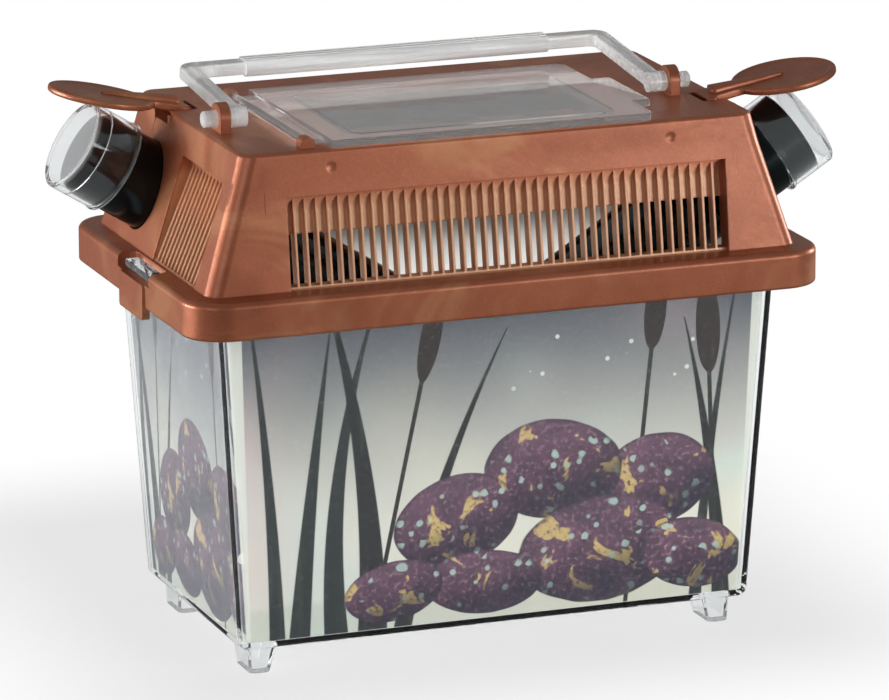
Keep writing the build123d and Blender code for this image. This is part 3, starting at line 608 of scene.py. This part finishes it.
def quads(rows, columns, wrap_rows=False, wrap_columns=False):
    """Corner indices of every cell of a grid of rows by columns points."""
    i = np.arange(rows if wrap_rows else rows - 1)[:, None]
    j = np.arange(columns if wrap_columns else columns - 1)[None, :]
    below = (i + 1) % rows
    beside = (j + 1) % columns
    corners = [i * columns + j, i * columns + beside, below * columns + beside, below * columns + j]
    return np.stack([np.broadcast_to(c, (i.size, j.size)) for c in corners], -1).reshape(-1, 4)


def merge_doubles(thing, distance=1e-7):
    """Closes seams and poles, then points all faces outwards."""
    work = bmesh.new()
    work.from_mesh(thing.data)
    bmesh.ops.remove_doubles(work, verts=work.verts, dist=distance)
    bmesh.ops.dissolve_degenerate(work, edges=work.edges, dist=distance)
    bmesh.ops.recalc_face_normals(work, faces=work.faces)
    work.to_mesh(thing.data)
    work.free()
    thing.data.update()


def soften(thing, width, segments=3, limit=30.0):
    """Rounds every edge sharper than limit by a small bevel."""
    bevel = thing.modifiers.new("soft_edges", "BEVEL")
    bevel.width = width
    bevel.segments = segments
    bevel.limit_method = "ANGLE"
    bevel.angle_limit = math.radians(limit)
    bevel.harden_normals = True
    bevel.use_clamp_overlap = True


def lathe(profile, origin, axis, side, count=96):
    """Points of a profile (radius, distance along) turned round an axis: a grid of rings.

    A point is origin + along * axis + radius * (cos a * side + sin a * (axis x side)).
    """
    profile = np.asarray(profile, float)
    a = np.linspace(0, 2 * math.pi, count, endpoint=False)
    across = np.cross(axis, side)
    ring = np.cos(a)[:, None] * side + np.sin(a)[:, None] * across
    return origin + profile[:, 1, None, None] * axis + profile[:, 0, None, None] * ring[None]


def lathed_object(name, profile, origin, axis, side, material, count=96, closed=False):
    """An object turned from a profile (radius, distance along); closed joins the profile's ends."""
    points = lathe(profile, origin, axis, side, count)
    rows = len(profile)
    thing = mesh_object(name, points.reshape(-1, 3), quads(rows, count, closed, True), material)
    merge_doubles(thing)
    return thing


def smooth_by_angle(limit=28.0):
    """Node group that joins a solid's loose triangles and shades it smooth except at sharp edges."""
    group = bpy.data.node_groups.new("smooth_by_angle", "GeometryNodeTree")
    group.interface.new_socket("Geometry", in_out="INPUT", socket_type="NodeSocketGeometry")
    group.interface.new_socket("Geometry", in_out="OUTPUT", socket_type="NodeSocketGeometry")
    entry = group.nodes.new("NodeGroupInput")
    leave = group.nodes.new("NodeGroupOutput")
    join = group.nodes.new("GeometryNodeMergeByDistance")
    join.inputs["Distance"].default_value = 1e-6
    faces = group.nodes.new("GeometryNodeSetShadeSmooth")
    faces.domain = "FACE"
    edges = group.nodes.new("GeometryNodeSetShadeSmooth")
    edges.domain = "EDGE"
    turn = group.nodes.new("GeometryNodeInputMeshEdgeAngle")
    flat = group.nodes.new("FunctionNodeCompare")
    flat.data_type = "FLOAT"
    flat.operation = "LESS_THAN"
    flat.inputs["B"].default_value = math.radians(limit)
    link = group.links.new
    link(entry.outputs[0], join.inputs["Geometry"])
    link(join.outputs["Geometry"], faces.inputs["Geometry"])
    link(faces.outputs["Geometry"], edges.inputs["Geometry"])
    link(turn.outputs["Unsigned Angle"], flat.inputs["A"])
    link(flat.outputs["Result"], edges.inputs["Shade Smooth"])
    link(edges.outputs["Geometry"], leave.inputs[0])
    return group


def dress(node, material, group):
    """Gives a carried-over solid its material and smooth shading."""
    thing = nodes[node]
    if not thing.material_slots:
        thing.data.materials.append(material)
    for place in thing.material_slots:
        place.material = material
    modifier = thing.modifiers.new("smooth_by_angle", "NODES")
    modifier.node_group = group
    even = thing.modifiers.new("even_normals", "WEIGHTED_NORMAL")
    even.keep_sharp = True


def side_frame(sign):
    """Unit vectors of the right (1) or left (-1) tube: outward along it, and sideways."""
    tubes = bpy.context.scene.keeper_tubes
    along = np.array([sign * math.cos(tubes.tilt), 0.0, math.sin(tubes.tilt)])
    sideways = np.array([0.0, sign, 0.0], float)
    return along, sideways


def tube_tip(sign):
    """Middle of a tube's outer end; the left one stands further out."""
    tubes = bpy.context.scene.keeper_tubes
    along = side_frame(sign)[0]
    pull = tubes.left_pull if sign < 0 else 0.0
    return np.array([sign * tubes.tip_out, -sign * tubes.side, tubes.tip_up]) + pull * along


# ---- Operators ----

SIDES = {"right": 1, "left": -1}
made = {}  # materials and node groups by name


def material(name, make, *settings, **options):
    """A material or node group, made once and shared."""
    if name not in made:
        made[name] = make(*settings, **options)
    return made[name]


def finishes():
    """The finish settings of the open scene."""
    return bpy.context.scene.keeper_finishes


class KEEPER_OT_hood(bpy.types.Operator):
    """Gives the vented hood its pearl copper finish"""
    bl_idname = "keeper.hood"
    bl_label = "Finish the hood"

    def execute(self, context):
        copper = material("copper", copper_plastic, finishes())
        dress("lid_hood", copper, material("smooth", smooth_by_angle))
        return {"FINISHED"}


class KEEPER_OT_clear_parts(bpy.types.Operator):
    """Gives tank, hatch and handle their clear plastic"""
    bl_idname = "keeper.clear_parts"
    bl_label = "Finish the clear parts"

    def execute(self, context):
        finish = finishes()
        smooth = material("smooth", smooth_by_angle)
        tank = material("tank", clear_plastic, finish, "clear_tank", finish.tank_milk,
                        coat=0.3, ior=1.12)
        milky = material("milky", clear_plastic, finish, "clear_hatch", finish.milk,
                         milk=(0.86, 0.80, 0.77))
        streaky = material("streaky", clear_plastic, finish, "milky_handle", finish.handle_milk,
                           milk=(0.90, 0.90, 0.89), haze=grip_streaks)
        dress("tank", tank, smooth)
        dress("feeding_hatch", milky, smooth)
        dress("carry_handle", streaky, smooth)
        return {"FINISHED"}


class KEEPER_OT_card(bpy.types.Operator):
    """Prints the card sleeve"""
    bl_idname = "keeper.card"
    bl_label = "Print the card"

    def execute(self, context):
        dress("card_sleeve", material("card", printed_card), material("smooth", smooth_by_angle))
        return {"FINISHED"}


class KEEPER_OT_tubes(bpy.types.Operator):
    """Makes the two round black tubes"""
    bl_idname = "keeper.tubes"
    bl_label = "Make the tubes"

    def execute(self, context):
        tubes = context.scene.keeper_tubes
        outer = tubes.radius
        inner = tubes.radius - tubes.wall
        profile = [(outer, -tubes.run), (outer, 0.0), (inner, 0.0), (inner, -tubes.run)]
        black = material("black", black_plastic, tubes)
        for name, sign in SIDES.items():
            along, sideways = side_frame(sign)
            tube = lathed_object(f"{name}_tube_skin", profile, tube_tip(sign), along, sideways, black,
                                 closed=True)
            soften(tube, 0.3 * MM, 2)
            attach(tube, f"{name}_tube_body")
            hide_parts(f"{name}_tube")
        return {"FINISHED"}


class KEEPER_OT_caps(bpy.types.Operator):
    """Makes the two clear caps"""
    bl_idname = "keeper.caps"
    bl_label = "Make the caps"

    def execute(self, context):
        tubes = context.scene.keeper_tubes
        caps = context.scene.keeper_caps
        bore = tubes.radius + caps.fit
        outer = bore + caps.wall
        full = caps.head + caps.plate
        inner = tubes.radius - 0.5 * MM
        bead = -caps.grip + 0.9 * MM
        chamfer = 0.6 * MM
        profile = [
            (0.0, caps.head), (inner, caps.head), (inner, 0.0), (bore, 0.0), (bore, -caps.grip),
            (outer + caps.lip, -caps.grip), (outer + caps.lip, bead), (outer, bead + caps.lip),
            (outer, full - chamfer), (outer - chamfer, full), (0.0, full),
        ]
        finish = finishes()
        clear = material("cap", clear_plastic, finish, "clear_caps", finish.cap_milk,
                         milk=(0.80, 0.81, 0.82), haze=plate_haze, waves=0.03, coat=0.45)
        for name, sign in SIDES.items():
            along, sideways = side_frame(sign)
            cap = lathed_object(f"{name}_cap_cup", profile, tube_tip(sign), along, sideways, clear)
            soften(cap, 0.2 * MM, 2)
            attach(cap, f"{name}_tube_body")
            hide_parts(f"{name}_tube_cap")
        return {"FINISHED"}


def flap_outline(flaps, count=240):
    """Outline of disc and arm round the disc's middle: radius as a function of angle.

    The radius is the smooth larger of the disc's and the arm's: (disc^12 + arm^12)^(1/12). The arm's
    is the nearer of its tapering side, a straight line, and its square end at the hinge.
    """
    crowding, corner, nothing, far = 1.7, 12.0, 0.1 * MM, 50 * MM
    s = np.linspace(-1.0, 1.0, count, endpoint=False)
    a = math.pi + math.pi * np.sign(s) * np.abs(s) ** crowding
    arm_end = flaps.reach + 1.5 * MM
    taper = (flaps.root - flaps.tip) / 2 / (arm_end - flaps.disc + 2.5 * MM)
    side = flaps.root / 2 - taper * arm_end
    slope = np.abs(np.sin(a)) + taper * np.cos(a)
    towards_hinge = np.cos(a) < -0.2
    edge = np.where(slope > 1e-3, side / np.maximum(slope, 1e-3), 1.0)
    edge = np.where(towards_hinge, edge, nothing)
    end = np.where(towards_hinge, arm_end / np.maximum(-np.cos(a), 0.2), nothing)
    arm = np.minimum(np.minimum(edge, end), far)
    reach = (flaps.disc ** corner + arm ** corner) ** (1.0 / corner)
    return np.stack([reach * np.cos(a), reach * np.sin(a)], -1)


def flap_plate(flaps):
    """Disc and arm as one skin: rings drawn in from the outline, with a rounded edge.

    Ring k is the outline shrunk towards the disc's middle by an inset; its height follows a
    quarter circle at the rim and sinks by the dish inside the disc.
    """
    outline = flap_outline(flaps)
    radius = np.linalg.norm(outline, axis=1)
    full = flaps.thickness
    curve, dish, dish_rim, dish_slope = 0.75 * MM, 0.35 * MM, 1.2 * MM, 0.8 * MM
    turn = np.linspace(0.0, math.pi / 2, 5)
    rim = [(curve * (1 - math.sin(t)), full - curve * (1 - math.cos(t))) for t in turn]
    rim += [(curve * (1 - math.cos(t)), curve * (1 - math.sin(t))) for t in turn]
    shares = [0.0, 0.25, 0.5, 0.7]
    insets = [3.0 * MM, 2.2 * MM, 1.8 * MM, 1.4 * MM, 1.1 * MM]
    rings = [(share * radius, full) for share in shares] + [(radius - inset, full) for inset in insets]
    rings += [(radius - inset, height) for inset, height in rim]
    rings += [(radius - 2.0 * MM, 0.0), (0.5 * radius, 0.0), (0.0 * radius, 0.0)]
    points = []
    for reach, height in rings:
        flat = outline * (reach / radius)[:, None]
        level = np.full(len(flat), height)
        if height == full:
            level -= dish * np.clip((flaps.disc - dish_rim - reach) / dish_slope, 0.0, 1.0)
        points.append(np.column_stack([flat[:, 0] + flaps.reach, flat[:, 1], level + flaps.standoff]))
    points = np.array(points)
    return points.reshape(-1, 3), quads(len(rings), len(outline), False, True)[:, ::-1]


def ridge(start, end, widths, heights, base, rows=40, columns=17):
    """A tapering rounded ridge along X: each section is a half oval, and both ends close to a point.

    It reaches a little down into the plate, so that no gap shows under it.
    """
    sunk = 0.3 * MM
    t = np.linspace(0.0, 1.0, rows)
    x = start + (end - start) * t
    close = np.sqrt(np.clip(np.minimum(t / 0.02, (1 - t) / 0.03), 0.0, 1.0))
    width = (widths[0] + (widths[1] - widths[0]) * t) * close
    height = (heights[0] + (heights[1] - heights[0]) * t) * close
    a = np.linspace(0.0, math.pi, columns)
    across = np.sign(np.cos(a)) * np.abs(np.cos(a)) ** 0.6
    up = np.abs(np.sin(a)) ** 0.45
    y = width[:, None] / 2 * across
    z = base + (height[:, None] + sunk) * up - sunk
    points = np.stack([np.broadcast_to(x[:, None], y.shape), y, z], -1)
    return points.reshape(-1, 3), quads(rows, columns)


def rod(radius, half, end_round, count=48):
    """A round rod along Y with rounded ends: a profile turned about Y."""
    t = np.linspace(0.0, math.pi / 2, 4)
    near = np.column_stack([radius - end_round * (1 - np.sin(t)), end_round * (1 - np.cos(t)) - half])
    profile = np.vstack([(0.0, -half), near, near[::-1] * (1, -1), (0.0, half)])
    points = lathe(profile, np.zeros(3), np.array([0.0, 1.0, 0.0]), np.array([1.0, 0.0, 0.0]), count)
    return points.reshape(-1, 3), quads(len(profile), count, False, True)


def web(half_x, half_y, low, high, power=8.0, rows=13, columns=32):
    """A soft-edged block: |x|^n + |y|^n = 1 sections whose size falls off towards top and bottom."""
    t = np.linspace(-1.0, 1.0, rows)
    shrink = (1 - np.abs(t) ** power) ** (1 / power)
    a = np.linspace(0.0, 2 * math.pi, columns, endpoint=False)
    flat = (np.abs(np.cos(a)) ** power + np.abs(np.sin(a)) ** power) ** (-1 / power)
    x = half_x * shrink[:, None] * (flat * np.cos(a))[None]
    y = half_y * shrink[:, None] * (flat * np.sin(a))[None]
    z = np.broadcast_to(((low + high) / 2 + (high - low) / 2 * t)[:, None], x.shape)
    return np.stack([x, y, z], -1).reshape(-1, 3), quads(rows, columns, False, True)


def together(parts):
    """Joins several (points, faces) pairs into one."""
    points, faces, start = [], [], 0
    for some_points, some_faces in parts:
        points.append(some_points)
        faces.append(some_faces + start)
        start += len(some_points)
    return np.concatenate(points), np.concatenate(faces)


class KEEPER_OT_flaps(bpy.types.Operator):
    """Makes the two shade flaps"""
    bl_idname = "keeper.flaps"
    bl_label = "Make the flaps"

    def execute(self, context):
        flaps = context.scene.keeper_flaps
        tubes = context.scene.keeper_tubes
        top = flaps.standoff + flaps.thickness
        barrel, pin, half = 1.5 * MM, 0.95 * MM, flaps.root / 2
        points, faces = together([
            flap_plate(flaps),
            ridge(1.0 * MM, flaps.reach, (5.6 * MM, 1.4 * MM), (1.8 * MM, 0.5 * MM), top),
            web(barrel, half - 0.05 * MM, 0.0, top - 0.2 * MM),
            rod(barrel, half, 0.3 * MM),
            rod(pin, half + 1.6 * MM, 0.2 * MM),
        ])
        copper = material("copper", copper_plastic, finishes())
        for name, sign in SIDES.items():
            lean = flaps.right_angle if sign > 0 else flaps.left_angle
            c, s = math.cos(lean), math.sin(lean)
            x = points[:, 0] * c - points[:, 2] * s + flaps.hinge_out
            z = points[:, 0] * s + points[:, 2] * c + flaps.hinge_up
            y = points[:, 1] - tubes.side
            corners = np.column_stack([sign * x, sign * y, z])
            flap = mesh_object(f"{name}_flap_skin", corners, faces, copper)
            merge_doubles(flap)
            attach(flap, f"{name}_flap_body")
            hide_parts(f"{name}_flap")
        return {"FINISHED"}


LAMPS = {  # place, target, width and height in metres, and the one solid that it lights, if not all
    "key": ((0.60, -0.85, 0.24), (0.0, 0.0, 0.1), 0.5, 0.32, None),
    "fill": ((-1.1, -1.0, 0.5), (0.0, 0.0, 0.09), 0.8, 0.8, None),
    "back": ((-1.2, 0.5, 0.12), (0.0, 0.0, 0.1), 0.9, 0.25, None),
    "side": ((1.4, 0.3, 0.22), (0.0, 0.0, 0.09), 0.35, 0.6, "lid_hood"),
    "rear": ((0.1, 1.3, 0.55), (0.0, 0.0, 0.09), 1.0, 0.8, "card_sleeve"),
    "top": ((0.1, 0.25, 1.3), (0.0, 0.0, 0.09), 1.0, 1.0, None),
}


def placed(thing, right, up, backward, place):
    """Links an object to the scene, turned so that its axes are the three unit vectors."""
    bpy.context.scene.collection.objects.link(thing)
    turn = np.eye(4)
    turn[:3, 0], turn[:3, 1], turn[:3, 2], turn[:3, 3] = right, up, backward, place
    thing.matrix_world = Matrix(turn.tolist())


def softbox(name, energy, place, target, width, height, only):
    """A rectangular lamp at a place, facing a target; it lights one solid only, where one is named."""
    lamp = bpy.data.lights.new(f"{name}_softbox", "AREA")
    lamp.shape = "RECTANGLE"
    lamp.size = width
    lamp.size_y = height
    lamp.energy = energy
    thing = bpy.data.objects.new(f"{name}_softbox", lamp)
    backward = np.array(place) - np.array(target)
    backward /= np.linalg.norm(backward)
    right = np.cross([0.0, 0.0, 1.0], backward)
    right /= np.linalg.norm(right)
    placed(thing, right, np.cross(backward, right), backward, place)
    if only:
        lit = bpy.data.collections.new(f"lit_by_{name}")
        lit.objects.link(nodes[only])
        thing.light_linking.receiver_collection = lit


def surroundings(scene, sky):
    """A dim, even light all round, seen as plain white past the floor and through clear plastic."""
    world = bpy.data.worlds.new("plain_surroundings")
    scene.world = world
    world.use_nodes = True
    tree = world.node_tree
    tree.nodes.clear()
    mix = tree.nodes.new("ShaderNodeMixShader")
    for i, strength in enumerate((sky, 1.0), start=1):
        glow = tree.nodes.new("ShaderNodeBackground")
        glow.inputs["Color"].default_value = (1.0, 1.0, 1.0, 1.0)
        glow.inputs["Strength"].default_value = strength
        tree.links.new(glow.outputs[0], mix.inputs[i])
    ray = tree.nodes.new("ShaderNodeLightPath")
    seen = tree.nodes.new("ShaderNodeMath")
    seen.operation = "ADD"
    seen.use_clamp = True
    tree.links.new(ray.outputs["Is Camera Ray"], seen.inputs[0])
    tree.links.new(ray.outputs["Is Transmission Ray"], seen.inputs[1])
    tree.links.new(seen.outputs[0], mix.inputs[0])
    out = tree.nodes.new("ShaderNodeOutputWorld")
    tree.links.new(mix.outputs[0], out.inputs[0])


def place_camera(scene):
    """Camera from a measured viewpoint.

    It stands at place; yaw, pitch and roll turn its line of sight; focal is its focal length, and
    middle the point where its axis meets the frame, both in pixels of the frame.
    """
    frame_width, frame_height = 889.0, 700.0
    focal, middle = 6786.08, (374.464, 345.039)
    place = (-0.631764, -1.690773, 0.544575)
    yaw, pitch, roll = (math.radians(v) for v in (-19.876, -14.545, -0.345))
    level = math.cos(pitch)
    ahead = np.array([math.sin(-yaw) * level, math.cos(-yaw) * level, math.sin(pitch)])
    right = np.cross(ahead, [0.0, 0.0, 1.0])
    right /= np.linalg.norm(right)
    up = np.cross(right, ahead)
    c, s = math.cos(roll), math.sin(roll)
    lens = bpy.data.cameras.new("keeper_camera")
    lens.sensor_width = 36.0
    lens.sensor_fit = "HORIZONTAL"
    lens.lens = focal / frame_width * lens.sensor_width
    lens.shift_x = (frame_width / 2 - middle[0]) / frame_width
    lens.shift_y = (middle[1] - frame_height / 2) / frame_width
    lens.clip_start = 0.05
    lens.clip_end = 20.0
    camera = bpy.data.objects.new("keeper_camera", lens)
    placed(camera, right * c + up * s, up * c - right * s, -ahead, place)
    scene.camera = camera


class KEEPER_OT_stage(bpy.types.Operator):
    """Sets the floor, lamps, surroundings and camera"""
    bl_idname = "keeper.stage"
    bl_label = "Set the stage"

    def execute(self, context):
        scene = context.scene
        stage = scene.keeper_stage
        corners = 3.0 * np.array([[-1, -1, 0], [1, -1, 0], [1, 1, 0], [-1, 1, 0]])
        floor = mesh_object("studio_floor", corners, [[0, 1, 2, 3]], floor_finish(stage), smooth=False)
        for name, lamp in LAMPS.items():
            softbox(name, getattr(stage, name), *lamp)
        surroundings(scene, stage.sky)
        scene.view_settings.view_transform = "Standard"
        place_camera(scene)
        return {"FINISHED"}


class KEEPER_PT_panel(bpy.types.Panel):
    """Lists the steps that make the box"""
    bl_idname = "KEEPER_PT_panel"
    bl_label = "Keeper Box"
    bl_space_type = "VIEW_3D"
    bl_region_type = "UI"
    bl_category = "Keeper Box"

    def draw(self, context):
        for step in STEPS:
            self.layout.operator(step.bl_idname)
        for group in GROUPS:
            settings = getattr(context.scene, group)
            for key in settings.bl_rna.properties.keys():
                if key not in ("rna_type", "name"):
                    self.layout.prop(settings, key)


STEPS = (KEEPER_OT_hood, KEEPER_OT_clear_parts, KEEPER_OT_card, KEEPER_OT_tubes, KEEPER_OT_caps,
         KEEPER_OT_flaps, KEEPER_OT_stage)
GROUPS = {
    "keeper_hood": KeeperHoodSettings,
    "keeper_tubes": KeeperTubeSettings,
    "keeper_caps": KeeperCapSettings,
    "keeper_flaps": KeeperFlapSettings,
    "keeper_finishes": KeeperFinishSettings,
    "keeper_stage": KeeperStageSettings,
}


def register():
    for group in GROUPS.values():
        bpy.utils.register_class(group)
    for step in STEPS:
        bpy.utils.register_class(step)
    bpy.utils.register_class(KEEPER_PT_panel)
    for name, group in GROUPS.items():
        setattr(bpy.types.Scene, name, PointerProperty(type=group))


def unregister():
    for name in GROUPS:
        delattr(bpy.types.Scene, name)
    bpy.utils.unregister_class(KEEPER_PT_panel)
    for step in reversed(STEPS):
        bpy.utils.unregister_class(step)
    for group in GROUPS.values():
        bpy.utils.unregister_class(group)


def main():
    """Makes the box step by step."""
    register()
    for step in STEPS:
        area, name = step.bl_idname.split(".")
        getattr(getattr(bpy.ops, area), name)()


if __name__ == "__main__":
    main()
